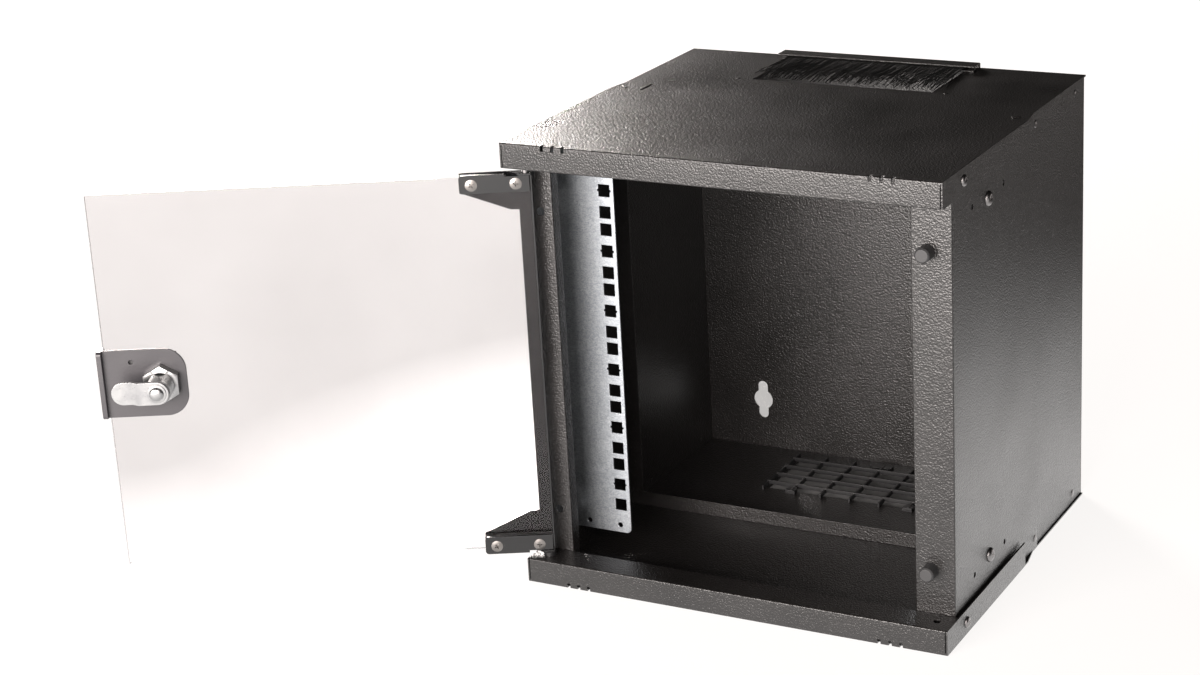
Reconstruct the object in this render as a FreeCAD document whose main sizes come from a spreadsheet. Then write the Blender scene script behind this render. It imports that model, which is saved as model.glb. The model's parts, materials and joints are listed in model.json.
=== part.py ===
"""Ten-inch wall cabinet, six rack units high, with a frameless glass door.

Millimetres.  Every piece is drawn in the cabinet's own directions with the door shut:
X to the right, Y into the cabinet from its front face, Z up from its underside.
The finished pieces are then set about the origin, the middle of the underside, and
the door pieces are swung open about the hinge pins.
"""
import FreeCAD, Part
import math
import os

import Sketcher

doc = FreeCAD.newDocument("wall_cabinet")
sheet = doc.addObject("Spreadsheet::Sheet", "dims")
pieces = []


# ---------------------------------------------------------------- driving dimensions
class Size:
    """A length with its value and the spreadsheet formula that drives it."""

    def __init__(self, value, formula):
        self.value = float(value)
        self.formula = formula

    def __add__(self, other):
        return joined(self, "+", other, self.value + float(other))

    def __radd__(self, other):
        return joined(other, "+", self, float(other) + self.value)

    def __sub__(self, other):
        return joined(self, "-", other, self.value - float(other))

    def __rsub__(self, other):
        return joined(other, "-", self, float(other) - self.value)

    def __mul__(self, factor):
        return joined(self, "*", factor, self.value * float(factor))

    def __rmul__(self, factor):
        return joined(factor, "*", self, float(factor) * self.value)

    def __truediv__(self, factor):
        return joined(self, "/", factor, self.value / float(factor))

    def __neg__(self):
        return Size(-self.value, f"(-1 * {self.formula})")

    def __float__(self):
        return self.value


def formula_of(length):
    return length.formula if isinstance(length, Size) else f"({float(length):.6f})"


def joined(first, sign, second, value):
    return Size(value, f"({formula_of(first)} {sign} {formula_of(second)})")


def driving(alias, value, note):
    """Writes one driving dimension into the spreadsheet and returns it as a Size."""
    row = driving.row
    driving.row += 1
    sheet.set(f"A{row}", note)
    sheet.set(f"B{row}", str(value))
    sheet.setAlias(f"B{row}", alias)
    return Size(value, f"dims.{alias}")


driving.row = 1

# shell
width = driving("width", 320, "over the covers' side flanges")
height = driving("height", 326, "over both covers")
depth = driving("depth", 292, "front face to wall")
gauge = driving("gauge", 1.2, "cabinet sheet")
flange = driving("flange", 18, "front and side flanges of a cover")
fold_back = driving("fold_back", 23, "depth of a cover's return flange")
side_flange = driving("side_flange", 154, "length of a cover's side flange")
jog_start = driving("jog_start", 160, "where a cover starts to narrow")
jog_end = driving("jog_end", 179, "where a cover has narrowed")
body_half = driving("body_half", 157, "half width over the side panels")
notch_pitch = driving("notch_pitch", 8, "between notches in a cover's front bend")
notch_middle = driving("notch_middle", 119, "middle notch from the centre line")
notch_wide = driving("notch_wide", 2.4, "a notch's width")
notch_reach = driving("notch_reach", 3.6, "a notch's reach from the bend")
seam = driving("seam", 0.6, "open seam where a front flange meets a side flange")
cut_half = driving("cut_half", 70, "half width of a cable cut-out")
cut_front = driving("cut_front", 213, "front edge of a cable cut-out")
cut_rear = driving("cut_rear", 275, "rear edge of a cable cut-out")
tie_x = driving("tie_x", 134.6, "tie slot in a cover, from the centre line")
tie_front = driving("tie_front", 161, "front end of the tie slot")
tie_long = driving("tie_long", 18, "length of the tie slot")
tie_wide = driving("tie_wide", 2.4, "width of the tie slot")

# side panels
post_front = driving("post_front", 23.5, "front face of the posts")
post_lip = driving("post_lip", 9.5, "depth of a post's return lip")
right_post = driving("right_post", 128.6, "inner edge of the right post")
left_post = driving("left_post", 135, "inner edge of the left post")
panel_rear = driving("panel_rear", 188, "rear edge of the side panels")
bumper_x = driving("bumper_x", 140, "bumpers on the right post")
spare_x = driving("spare_x", 144.5, "spare bumper holes in the left post")
bumper_low = driving("bumper_low", 49.5, "lower bumper")
bumper_high = driving("bumper_high", 272, "upper bumper")
bumper_hole = driving("bumper_hole", 3, "radius of a bumper's hole")
bumper_tip = driving("bumper_tip", 13, "front end of a bumper")

# rear box, a pan welded from five sheets
box_front = driving("box_front", 151, "front of the rear box's inward lips")
box_lip = driving("box_lip", 11, "width of those lips")
key_x = driving("key_x", 107.5, "wall keyholes from the centre line")
key_low = driving("key_low", 42.4, "keyholes from either end")
key_round = driving("key_round", 8, "radius of a keyhole's middle")
key_slot = driving("key_slot", 4.1, "half width of its slots")
key_reach = driving("key_reach", 15.5, "half height of a keyhole")
rivet_front = driving("rivet_front", 183, "front rivets")
rivet_rear = driving("rivet_rear", 271, "rear rivets")
rivet_rise = driving("rivet_rise", 8.7, "rivets from either end")

# rack rails
rail_front = driving("rail_front", 67.2, "front face of the rails")
rail_inner = driving("rail_inner", 110.8, "inner edge of a rail")
rail_gauge = driving("rail_gauge", 1.5, "rail sheet")
rail_leg = driving("rail_leg", 44, "depth of a rail's side leg")
rail_end = driving("rail_end", 17, "rails from either end")
rack_hole = driving("rack_hole", 8.9, "square rack holes")
rack_x = driving("rack_x", 118.26, "rack holes from the centre line")
rack_unit = driving("rack_unit", 44.45, "one rack unit")
rack_step = driving("rack_step", 15.875, "outer holes from a unit's middle")
rack_first = driving("rack_first", 54.9, "middle of the lowest unit")
small_hole = driving("small_hole", 2, "small round holes in rails and panels")
screw_y = driving("screw_y", 89.5, "rail screws")
screw_z = driving("screw_z", 35.5, "rail screws from either end")
cover_y = driving("cover_y", 37, "cover screws")
cover_z = driving("cover_z", 8.6, "cover screws from either end")
screw_r = driving("screw_r", 1.9, "rail screw's shank radius")
cover_r = driving("cover_r", 1.5, "cover screw's shank radius")
rivet_r = driving("rivet_r", 1.6, "rivet's shank radius")

# cable grid and brush
grid_half = driving("grid_half", 72, "half width of the cable grid")
grid_pitch = driving("grid_pitch", 24, "between its cross walls")
slat_first = driving("slat_first", 219.5, "front slat")
slat_pitch = driving("slat_pitch", 16.2, "between slats")
slat_wall = driving("slat_wall", 1.6, "thickness of slats and cross walls")
grid_top = driving("grid_top", 6.6, "top of the slats")
holder_half = driving("holder_half", 78, "half length of the brush holder")
holder_front = driving("holder_front", 276, "front edge of the brush holder")
holder_deep = driving("holder_deep", 14, "depth of the brush holder")
holder_tall = driving("holder_tall", 4.6, "height of the brush holder")

# door
hinge_x = driving("hinge_x", 148, "hinge pins from the centre line")
hinge_y = driving("hinge_y", 12.5, "hinge pins behind the front face")
hinge_hole = driving("hinge_hole", 2.6, "radius of the hinge holes")
pin_r = driving("pin_r", 2.52, "radius of the hinge pins")
open_angle = driving("open_angle", 152.4, "how far the door stands open")
glass_from = driving("glass_from", -2.5, "hinge edge of the glass, from the pins")
glass_to = driving("glass_to", 303.5, "free edge of the glass, from the pins")
glass_low = driving("glass_low", 24.5, "lower edge of the glass")
glass_high = driving("glass_high", 301.2, "upper edge of the glass")
glass_thick = driving("glass_thick", 4, "glass")
pad_thick = driving("pad_thick", 0.5, "pads between glass and steel")
frame_gauge = driving("frame_gauge", 1.5, "hinge frame")
frame_low = driving("frame_low", 21, "lower edge of the hinge frame")
frame_high = driving("frame_high", 303, "upper edge of the hinge frame")
stile_to = driving("stile_to", 6, "inner edge of the hinge stile")
arm_to = driving("arm_to", 46, "end of the frame's arms")
plate_tall = driving("plate_tall", 13.2, "height of a clamp plate")
plate_gauge = driving("plate_gauge", 2, "clamp plates and lock bracket")
clamp_near = driving("clamp_near", 7, "first clamp screw, from the pins")
clamp_far = driving("clamp_far", 37.6, "second clamp screw, from the pins")
clamp_r = driving("clamp_r", 2, "clamp screw's radius")
clamp_head = driving("clamp_head", 4.2, "clamp screw's head radius")

# lock
lock_s = driving("lock_s", 263.5, "lock's axis, from the pins")
lock_z = driving("lock_z", 163.7, "lock's axis above the underside")
bracket_from = driving("bracket_from", 246, "inner edge of the lock bracket")
bracket_half = driving("bracket_half", 25, "half height of the lock bracket")
bracket_round = driving("bracket_round", 16, "its corner radius")
lip_front = driving("lip_front", 4, "front edge of the bracket's edge lip")
lip_deep = driving("lip_deep", 15, "depth of the edge lip")
lip_gauge = driving("lip_gauge", 3.6, "thickness of the edge lip")
barrel_r = driving("barrel_r", 9.4, "lock barrel")
barrel_end = driving("barrel_end", 36, "inner end of the lock barrel")
nut_flats = driving("nut_flats", 24.2, "lock nut across flats")
nut_tall = driving("nut_tall", 7, "lock nut's thickness")
plug_r = driving("plug_r", 6.45, "lock plug")
plug_gap = driving("plug_gap", 0.06, "running clearance round the plug")
cam_long = driving("cam_long", 32.1, "cam's tip from the lock's axis")
cam_wide = driving("cam_wide", 16.7, "cam's width")
cam_gauge = driving("cam_gauge", 2.2, "cam's thickness")
cam_drop = driving("cam_drop", 2.5, "cam's crank")
drive_flats = driving("drive_flats", 8.8, "square drive across flats")

doc.recompute()

panel_inner = body_half - gauge
glass_front = hinge_y - glass_thick
plate_front = hinge_y + pad_thick
frame_front = glass_front - pad_thick - frame_gauge
middle = height / 2

# the way each origin plane faces
NORMAL = {"XY_Plane": "+z", "XZ_Plane": "-y", "YZ_Plane": "+x"}


# ---------------------------------------------------------------- drawing helpers
def bind(item, name, length):
    """Ties a property to the spreadsheet."""
    item.setExpression(name, formula_of(length))


def new_body(name):
    body = doc.addObject("PartDesign::Body", name)
    body.Label = name
    body.AllowCompound = True
    pieces.append(body)
    return body


def origin_item(body, role):
    return next(item for item in body.Origin.OriginFeatures if item.Role == role)


def new_sketch(body, role, level=0, across=0, up=0):
    """An empty sketch on an origin plane, moved out to a level and shifted within it."""
    sketch = body.newObject("Sketcher::SketchObject", f"{body.Name}_sketch")
    sketch.AttachmentSupport = [(origin_item(body, role), "")]
    sketch.MapMode = "FlatFace"
    bind(sketch, "AttachmentOffset.Base.x", across)
    bind(sketch, "AttachmentOffset.Base.y", up)
    bind(sketch, "AttachmentOffset.Base.z", -1 * level if role == "XZ_Plane" else level)
    return sketch


def tie(sketch, *points):
    """Fixes points, each (item, point, across, up), by their distances from the origin."""
    rules, lengths = [], []
    for item, point, across, up in points:
        for kind, length, axis in (("DistanceX", across, -2), ("DistanceY", up, -1)):
            if float(length) == 0:
                rules.append(Sketcher.Constraint("PointOnObject", item, point, axis))
                lengths.append(None)
            else:
                rules.append(Sketcher.Constraint(kind, -1, 1, item, point, float(length)))
                lengths.append(length)
    indices = sketch.addConstraint(rules)
    for index, length in zip(indices, lengths):
        if isinstance(length, Size):
            bind(sketch, f"Constraints[{index}]", length)


def outline(sketch, corners):
    """A closed outline through corners, each tied to the sheet."""
    count = len(corners)
    spots = [FreeCAD.Vector(float(across), float(up), 0) for across, up in corners]
    lines = sketch.addGeometry([Part.LineSegment(spots[i], spots[(i + 1) % count])
                                for i in range(count)])
    sketch.addConstraint([Sketcher.Constraint("Coincident", lines[i], 2, lines[(i + 1) % count], 1)
                          for i in range(count)])
    tie(sketch, *[(line, 1, across, up) for line, (across, up) in zip(lines, corners)])


def rectangle(sketch, left, low, right, high):
    outline(sketch, [(left, low), (right, low), (right, high), (left, high)])


def disc(sketch, across, up, radius):
    centre = FreeCAD.Vector(float(across), float(up), 0)
    circle = Part.Circle(centre, FreeCAD.Vector(0, 0, 1), float(radius))
    item = sketch.addGeometry(circle)
    tie(sketch, (item, 3, across, up))
    index = sketch.addConstraint(Sketcher.Constraint("Radius", item, float(radius)))
    bind(sketch, f"Constraints[{index}]", radius)


def plane_role(sketch):
    return sketch.AttachmentSupport[0][0].Role


def extrude(kind, sketch, length, towards):
    body = sketch.getParentGeoFeatureGroup()
    feature = body.newObject(f"PartDesign::{kind}", f"{body.Name}_{kind.lower()}")
    feature.Profile = sketch
    bind(feature, "Length", length)
    with_normal = towards == NORMAL[plane_role(sketch)]
    feature.Reversed = with_normal if kind == "Pocket" else not with_normal
    return feature


def facets(sketch, across, up, radius, sides=12, outside=False):
    """A regular polygon in place of a circle, within it or, for a clear hole, outside it."""
    reach = radius / math.cos(math.pi / sides) if outside else radius
    middle_point = FreeCAD.Vector(float(across), float(up), 0)
    turns = [math.radians(360 * (corner + 0.5) / sides) for corner in range(sides)]
    spots = [middle_point + FreeCAD.Vector(math.cos(turn), math.sin(turn), 0) * float(reach)
             for turn in turns]
    lines = sketch.addGeometry([Part.LineSegment(spots[i], spots[(i + 1) % sides])
                                for i in range(sides)])
    guide = sketch.addGeometry(Part.Circle(middle_point, FreeCAD.Vector(0, 0, 1), float(reach)), True)
    rules = [Sketcher.Constraint("Coincident", lines[i], 2, lines[(i + 1) % sides], 1)
             for i in range(sides)]
    rules += [Sketcher.Constraint("PointOnObject", line, 1, guide) for line in lines]
    rules += [Sketcher.Constraint("Equal", lines[0], line) for line in lines[1:]]
    rules.append(Sketcher.Constraint("Vertical", lines[-1]))
    sketch.addConstraint(rules)
    tie(sketch, (guide, 3, across, up))
    size = sketch.addConstraint(Sketcher.Constraint("Radius", guide, float(reach)))
    bind(sketch, f"Constraints[{size}]", reach)


def pad(sketch, length, towards):
    return extrude("Pad", sketch, length, towards)


def pocket(sketch, length, towards):
    return extrude("Pocket", sketch, length, towards)


def revolve(kind, sketch, axis):
    body = sketch.getParentGeoFeatureGroup()
    feature = body.newObject(f"PartDesign::{kind}", f"{body.Name}_{kind.lower()}")
    feature.Profile = sketch
    feature.ReferenceAxis = (sketch, [axis])
    feature.Angle = 360
    return feature


def turned(sketch, profile, axis="H_Axis", kind="Revolution"):
    """A solid of revolution from a half profile."""
    outline(sketch, profile)
    return revolve(kind, sketch, axis)


def mirror(body, features, role="YZ_Plane"):
    feature = body.newObject("PartDesign::Mirrored", f"{body.Name}_mirrored")
    feature.Originals = features
    feature.MirrorPlane = (origin_item(body, role), [""])
    body.Tip = feature
    return feature


def repeat(body, features, role, length, count):
    feature = body.newObject("PartDesign::LinearPattern", f"{body.Name}_row")
    feature.Originals = features
    feature.Direction = (origin_item(body, role), [""])
    bind(feature, "Length", length)
    feature.Occurrences = count
    body.Tip = feature
    return feature


def edge_at(edge, **place):
    """True for an edge whose ends share the given coordinates."""
    return all(abs(getattr(end.Point, axis) - float(value)) < 1e-3
               for end in edge.Vertexes for axis, value in place.items())


def round_edges(body, radius, *places):
    """Fillets the straight edges that lie at the given coordinates."""
    doc.recompute()
    base = body.Tip
    names = [f"Edge{number}" for number, edge in enumerate(base.Shape.Edges, start=1)
             if any(edge_at(edge, **place) for place in places)]
    feature = body.newObject("PartDesign::Fillet", f"{body.Name}_rounds")
    feature.Base = (base, names)
    bind(feature, "Radius", radius)
    return feature


def from_pins(distance):
    """X of a point of the shut door, given its distance from the hinge pins."""
    return distance - hinge_x


# ---------------------------------------------------------------- cabinet
def cover(name, upper):
    """Folded cover: sheet, front flange, return flange and two side flanges."""
    body = new_body(name)

    def level(rise):
        return height - rise if upper else rise

    inward, outward = ("-z", "+z") if upper else ("+z", "-z")
    section = new_sketch(body, "YZ_Plane", -width / 2)
    outline(section, [(0, level(0)), (depth, level(0)), (depth, level(gauge)),
                      (gauge, level(gauge)), (gauge, level(flange - gauge)),
                      (fold_back, level(flange - gauge)), (fold_back, level(flange)),
                      (0, level(flange))])
    pad(section, width, "+x")

    flank = new_sketch(body, "YZ_Plane", width / 2)
    rectangle(flank, 0, level(0), side_flange, level(flange))
    flank_pad = pad(flank, gauge, "-x")
    mirror(body, [flank_pad])

    corner = new_sketch(body, "XY_Plane", level(0))
    outline(corner, [(width / 2, jog_start), (width / 2 + 2, jog_start),
                     (width / 2 + 2, depth + 2), (body_half, depth + 2), (body_half, jog_end)])
    corner_cut = pocket(corner, gauge, inward)
    mirror(body, [corner_cut])

    window = new_sketch(body, "XY_Plane", level(0))
    rectangle(window, -cut_half, cut_front, cut_half, cut_rear)
    rectangle(window, -tie_x - tie_wide / 2, tie_front, -tie_x + tie_wide / 2, tie_front + tie_long)
    pocket(window, gauge, inward)

    hinge_holes = new_sketch(body, "XY_Plane", level(flange))
    disc(hinge_holes, -hinge_x, hinge_y, hinge_hole)
    disc(hinge_holes, hinge_x, hinge_y, hinge_hole)
    pocket(hinge_holes, gauge, outward)

    notches = new_sketch(body, "XZ_Plane", 0)
    for side in (-1, 1):
        for step in (-1, 0, 1):
            left = side * notch_middle + step * notch_pitch - notch_wide / 2
            rectangle(notches, left, level(-1), left + notch_wide, level(notch_reach))
    pocket(notches, notch_reach, "+y")

    seams = new_sketch(body, "XZ_Plane", 0)
    for side in (-1, 1):
        rectangle(seams, side * (width / 2 - gauge - seam), level(gauge + 0.6),
                  side * (width / 2 - gauge), level(flange + 1))
    pocket(seams, gauge + 0.3, "+y")

    holes = new_sketch(body, "YZ_Plane", -width)
    facets(holes, cover_y, level(cover_z), cover_r)
    pocket(holes, 2 * width, "+x")
    round_edges(body, gauge * 0.8, {"y": 0, "z": level(0)}, {"y": 0, "z": level(flange)})
    return body


def side_panel(name, side, post):
    """Side sheet with its front post: a face, and a lip along the opening."""
    body = new_body(name)
    skin, inside = side * body_half, side * panel_inner
    edge, lip = side * post, side * (post + gauge)
    profile = new_sketch(body, "XY_Plane", gauge)
    outline(profile, [(skin, post_front), (skin, panel_rear), (inside, panel_rear),
                      (inside, post_front + gauge), (lip, post_front + gauge),
                      (lip, post_front + post_lip), (edge, post_front + post_lip),
                      (edge, post_front)])
    pad(profile, height - 2 * gauge, "+z")

    across = new_sketch(body, "YZ_Plane", -width)
    for level in (1, -1):
        def rise(distance):
            return distance if level == 1 else height - distance
        facets(across, cover_y, rise(cover_z), cover_r)
        facets(across, screw_y, rise(screw_z), screw_r)
        facets(across, rivet_front, rise(rivet_rise), rivet_r)
        facets(across, 60, rise(33), small_hole)
        facets(across, 119, rise(33), small_hole)
    pocket(across, 2 * width, "+x")

    front = new_sketch(body, "XZ_Plane", post_front)
    hole_x = bumper_x if side == 1 else -spare_x
    disc(front, hole_x, bumper_low, bumper_hole)
    disc(front, hole_x, bumper_high, bumper_hole)
    pocket(front, gauge, "+y")
    round_edges(body, gauge * 0.8, {"x": skin, "y": post_front}, {"x": edge, "y": post_front})
    return body


def rear_panel():
    """Flat back of the rear box, with a double keyhole near each corner."""
    body = new_body("rear_panel")
    sheet_face = new_sketch(body, "XZ_Plane", depth - gauge)
    rectangle(sheet_face, -panel_inner, gauge, panel_inner, height - gauge)
    pad(sheet_face, gauge, "+y")
    keyholes = [(side * key_x, rise) for side in (-1, 1) for rise in (key_low, height - key_low)]
    rounds = new_sketch(body, "XZ_Plane", depth - gauge)
    slots = new_sketch(body, "XZ_Plane", depth - gauge)
    ends = new_sketch(body, "XZ_Plane", depth - gauge)
    for centre, rise in keyholes:
        disc(rounds, centre, rise, key_round)
        rectangle(slots, centre - key_slot, rise - key_reach + key_slot,
                  centre + key_slot, rise + key_reach - key_slot)
        disc(ends, centre, rise - key_reach + key_slot, key_slot)
        disc(ends, centre, rise + key_reach - key_slot, key_slot)
    for sketch in (rounds, slots, ends):
        pocket(sketch, gauge, "+y")
    return body


def rear_wall(name, side):
    """Side wall of the rear box with its inward lip, cut short at both corners."""
    body = new_body(name)
    outer, inner = side * panel_inner, side * (panel_inner - gauge)
    lip = side * (panel_inner - box_lip)
    profile = new_sketch(body, "XY_Plane", gauge)
    outline(profile, [(outer, box_front), (outer, depth - gauge), (inner, depth - gauge),
                      (inner, box_front + gauge), (lip, box_front + gauge), (lip, box_front)])
    pad(profile, height - 2 * gauge, "+z")
    corners = new_sketch(body, "XZ_Plane", box_front)
    rectangle(corners, lip, gauge, inner, gauge + box_lip)
    rectangle(corners, lip, height - gauge - box_lip, inner, height - gauge)
    pocket(corners, gauge, "+y")
    rivet_holes = new_sketch(body, "YZ_Plane", -width)
    for place in (rivet_front, rivet_rear):
        facets(rivet_holes, place, rivet_rise, rivet_r)
        facets(rivet_holes, place, height - rivet_rise, rivet_r)
    pocket(rivet_holes, 2 * width, "+x")
    return body


def rear_deck(name, upper):
    """Floor or roof of the rear box: its inward lip and its cable cut-out."""
    body = new_body(name)

    def level(rise):
        return height - rise if upper else rise

    section = new_sketch(body, "YZ_Plane", gauge - panel_inner)
    outline(section, [(box_front, level(gauge)), (depth - gauge, level(gauge)),
                      (depth - gauge, level(2 * gauge)), (box_front + gauge, level(2 * gauge)),
                      (box_front + gauge, level(gauge + box_lip)),
                      (box_front, level(gauge + box_lip))])
    pad(section, 2 * (panel_inner - gauge), "+x")
    window = new_sketch(body, "XY_Plane", level(gauge))
    rectangle(window, -cut_half, cut_front, cut_half, cut_rear)
    pocket(window, gauge, "-z" if upper else "+z")
    return body


def rack_rail(name, side):
    """Angle rail with three square holes to each rack unit."""
    body = new_body(name)
    wall, inner = side * panel_inner, side * rail_inner
    leg = side * (panel_inner - rail_gauge)
    profile = new_sketch(body, "XY_Plane", rail_end)
    outline(profile, [(inner, rail_front), (wall, rail_front), (wall, rail_front + rail_leg),
                      (leg, rail_front + rail_leg), (leg, rail_front + rail_gauge),
                      (inner, rail_front + rail_gauge)])
    pad(profile, height - 2 * rail_end, "+z")

    half = rack_hole / 2
    unit = new_sketch(body, "XZ_Plane", rail_front)
    for step in (-1, 0, 1):
        centre = rack_first + step * rack_step
        rectangle(unit, side * rack_x - half, centre - half, side * rack_x + half, centre + half)
    unit_cut = pocket(unit, rail_gauge, "+y")
    marks = new_sketch(body, "XZ_Plane", rail_front)
    rectangle(marks, side * rack_x - half - 0.9, rack_first - 0.7,
              side * rack_x + half + 0.9, rack_first + 0.7)
    mark_cut = pocket(marks, rail_gauge, "+y")
    repeat(body, [unit_cut, mark_cut], "Z_Axis", 5 * rack_unit, 6)

    ends = new_sketch(body, "XZ_Plane", rail_front)
    for rise in (22.8, height - 22.8):
        facets(ends, side * 119.7, rise, small_hole)
        facets(ends, side * 145.1, rise, small_hole)
    pocket(ends, rail_gauge, "+y")

    fixings = new_sketch(body, "YZ_Plane", -width)
    facets(fixings, screw_y, screw_z, screw_r)
    facets(fixings, screw_y, height - screw_z, screw_r)
    pocket(fixings, 2 * width, "+x")
    round_edges(body, 4, {"x": inner, "z": rail_end}, {"x": inner, "z": height - rail_end})
    round_edges(body, rail_gauge * 0.8, {"x": wall, "y": rail_front})
    return body


def cable_grid():
    """Snap-in grid over the lower cable cut-out: cross walls that carry four slats."""
    body = new_body("cable_grid")
    floor = 2 * gauge
    wall = new_sketch(body, "XY_Plane", floor)
    rectangle(wall, -grid_half, cut_front - 5, slat_wall - grid_half, cut_rear + 4)
    first_wall = pad(wall, grid_top - floor - 0.8, "+z")
    repeat(body, [first_wall], "X_Axis", 6 * grid_pitch, 7)

    slat = new_sketch(body, "XY_Plane", floor + 1)
    rectangle(slat, -grid_half, slat_first - slat_wall, grid_half + slat_wall, slat_first)
    first_slat = pad(slat, grid_top - floor - 1, "+z")
    repeat(body, [first_slat], "Y_Axis", 3 * slat_pitch, 4)

    clips = new_sketch(body, "XY_Plane", floor)
    for centre in (-2 * grid_pitch, 2 * grid_pitch):
        rectangle(clips, centre - 4, cut_front - 5.5, centre + 4, cut_front - 0.5)
    rectangle(clips, -10, cut_rear + 0.5, 8, cut_rear + 5.5)
    pad(clips, 3, "+z")
    catches = new_sketch(body, "XY_Plane", floor + 3)
    for centre in (-2 * grid_pitch, 2 * grid_pitch):
        rectangle(catches, centre - 3, cut_front + 0.1, centre + 3, cut_front + 1.5)
    rectangle(catches, -9, cut_rear - 1.5, 7, cut_rear - 0.1)
    pad(catches, 4.6, "-z")
    bridges = new_sketch(body, "XY_Plane", floor + 3)
    for centre in (-2 * grid_pitch, 2 * grid_pitch):
        rectangle(bridges, centre - 3, cut_front - 2, centre + 3, cut_front + 1.5)
    rectangle(bridges, -9, cut_rear - 1.5, 7, cut_rear + 2)
    pad(bridges, 1, "-z")
    return body


def brush_holder():
    """Folded strip, open to the front, that grips the roots of the brush."""
    body = new_body("brush_holder")
    rear, top = holder_front + holder_deep, height + holder_tall
    section = new_sketch(body, "YZ_Plane", -holder_half)
    outline(section, [(holder_front, height), (rear, height), (rear, top), (holder_front, top),
                      (holder_front, top - gauge), (rear - 4, top - gauge),
                      (rear - 4, height + gauge), (holder_front, height + gauge)])
    pad(section, 2 * holder_half, "+x")
    round_edges(body, 1.6, {"y": rear, "z": height}, {"y": rear, "z": top})
    round_edges(body, 0.5, {"y": holder_front, "z": top})
    return body


def brush_bristles():
    """The whole tuft row as one closed solid that lies forward over the cut-out."""
    body = new_body("brush_bristles")
    root, low, high = holder_front + holder_deep - 4, height + gauge, height + holder_tall - gauge
    section = new_sketch(body, "YZ_Plane", 4 - holder_half)
    outline(section, [(root, low), (root, high), (holder_front, high), (cut_front + 12, low + 1.2),
                      (cut_front + 3, low - 0.4), (cut_front + 14, low - 0.6), (holder_front, low)])
    pad(section, 2 * holder_half - 8, "+x")
    return body


def door_bumpers():
    """Rubber buttons pushed into the right post."""
    body = new_body("door_bumpers")
    for rise in (bumper_low, bumper_high):
        half_profile = new_sketch(body, "YZ_Plane", bumper_x, 0, rise)
        turned(half_profile, [(bumper_tip, 0), (bumper_tip, 4.2), (bumper_tip + 1.2, 5.25),
                              (post_front, 5.25), (post_front, bumper_hole),
                              (post_front + gauge, bumper_hole), (post_front + gauge, 4),
                              (post_front + gauge + 3, 2.4), (post_front + gauge + 3, 0)])
    return body


def headed_pin(body, side, seat, place, rise, head, proud, radius, grip):
    """A flat-headed fixing through one side of the cabinet, its head outside."""
    outward, inward = ("+x", "-x") if side == 1 else ("-x", "+x")
    top = new_sketch(body, "YZ_Plane", side * seat)
    facets(top, place, rise, head)
    pad(top, proud, outward)
    shank = new_sketch(body, "YZ_Plane", side * seat)
    facets(shank, place, rise, radius)
    pad(shank, grip, inward)


def panel_screws(name, place, rise, radius, head, proud, seat, grip):
    """Four screws, two through each side of the cabinet."""
    body = new_body(name)
    for side in (-1, 1):
        for level in (rise, height - rise):
            headed_pin(body, side, seat, place, level, head, proud, radius, grip)
    return body


def rear_rivets():
    """Flush-backed rivets that hold the side panels and the rear box's corners."""
    body = new_body("rear_rivets")
    for side in (-1, 1):
        for place, seat, grip in ((rivet_front, body_half, 2 * gauge),
                                  (rivet_rear, panel_inner, gauge)):
            for level in (rivet_rise, height - rivet_rise):
                headed_pin(body, side, seat, place, level, 3, 0.8, rivet_r, grip)
    return body


# ---------------------------------------------------------------- door
def clamp_places():
    """Each clamp screw as its distance from the pins and its height."""
    return [(distance, rise) for distance in (clamp_near, clamp_far)
            for rise in (frame_low + 5.9, frame_high - 7.2)]


def door_glass():
    body = new_body("door_glass")
    pane = new_sketch(body, "XZ_Plane", glass_front)
    rectangle(pane, from_pins(glass_from), glass_low, from_pins(glass_to), glass_high)
    pad(pane, glass_thick, "+y")
    corners = [{"x": from_pins(edge), "z": end} for edge in (glass_from, glass_to)
               for end in (glass_low, glass_high)]
    round_edges(body, 2, *corners)

    lock_hole = new_sketch(body, "XZ_Plane", glass_front)
    disc(lock_hole, from_pins(lock_s), lock_z, barrel_r + 0.8)
    pocket(lock_hole, glass_thick, "+y")
    slots = new_sketch(body, "XZ_Plane", glass_front)
    for distance, rise in clamp_places():
        centre = from_pins(distance)
        if float(rise) < float(middle):
            rectangle(slots, centre - 3.4, glass_low - 2, centre + 3.4, rise + 3)
        else:
            rectangle(slots, centre - 3.4, rise - 3, centre + 3.4, glass_high + 2)
    pocket(slots, glass_thick, "+y")
    return body


def hinge_frame():
    """Outer frame: a stile, two tapering arms, an edge lip and a flange for each pin."""
    body = new_body("hinge_frame")
    edge = from_pins(-4)
    inner, tip = from_pins(stile_to), from_pins(arm_to)
    face = new_sketch(body, "XZ_Plane", frame_front)
    outline(face, [(edge, frame_low), (tip, frame_low), (tip, frame_low + 14),
                   (inner + 6, frame_low + 30), (inner, frame_low + 30),
                   (inner, frame_high - 27.4), (inner + 6, frame_high - 27.2),
                   (tip, frame_high - 14), (tip, frame_high), (edge, frame_high)])
    pad(face, frame_gauge, "+y")
    lip = new_sketch(body, "XZ_Plane", frame_front)
    rectangle(lip, edge, frame_low, edge + 1.2, frame_high)
    pad(lip, hinge_y + 0.4 - frame_front, "+y")
    for low in (frame_low, frame_high - frame_gauge):
        ear = new_sketch(body, "XY_Plane", low)
        outline(ear, [(edge, frame_front), (from_pins(14), frame_front),
                      (from_pins(14), frame_front + frame_gauge), (from_pins(4), hinge_y + 3.6),
                      (edge + 0.5, hinge_y + 3.6), (edge, hinge_y + 3)])
        pad(ear, frame_gauge, "+z")
    pin_holes = new_sketch(body, "XY_Plane", height)
    disc(pin_holes, from_pins(0), hinge_y, pin_r)
    pocket(pin_holes, height, "-z")
    screw_holes = new_sketch(body, "XZ_Plane", frame_front)
    for distance, rise in clamp_places():
        facets(screw_holes, from_pins(distance), rise, clamp_r)
    pocket(screw_holes, frame_gauge, "+y")
    return body


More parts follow.
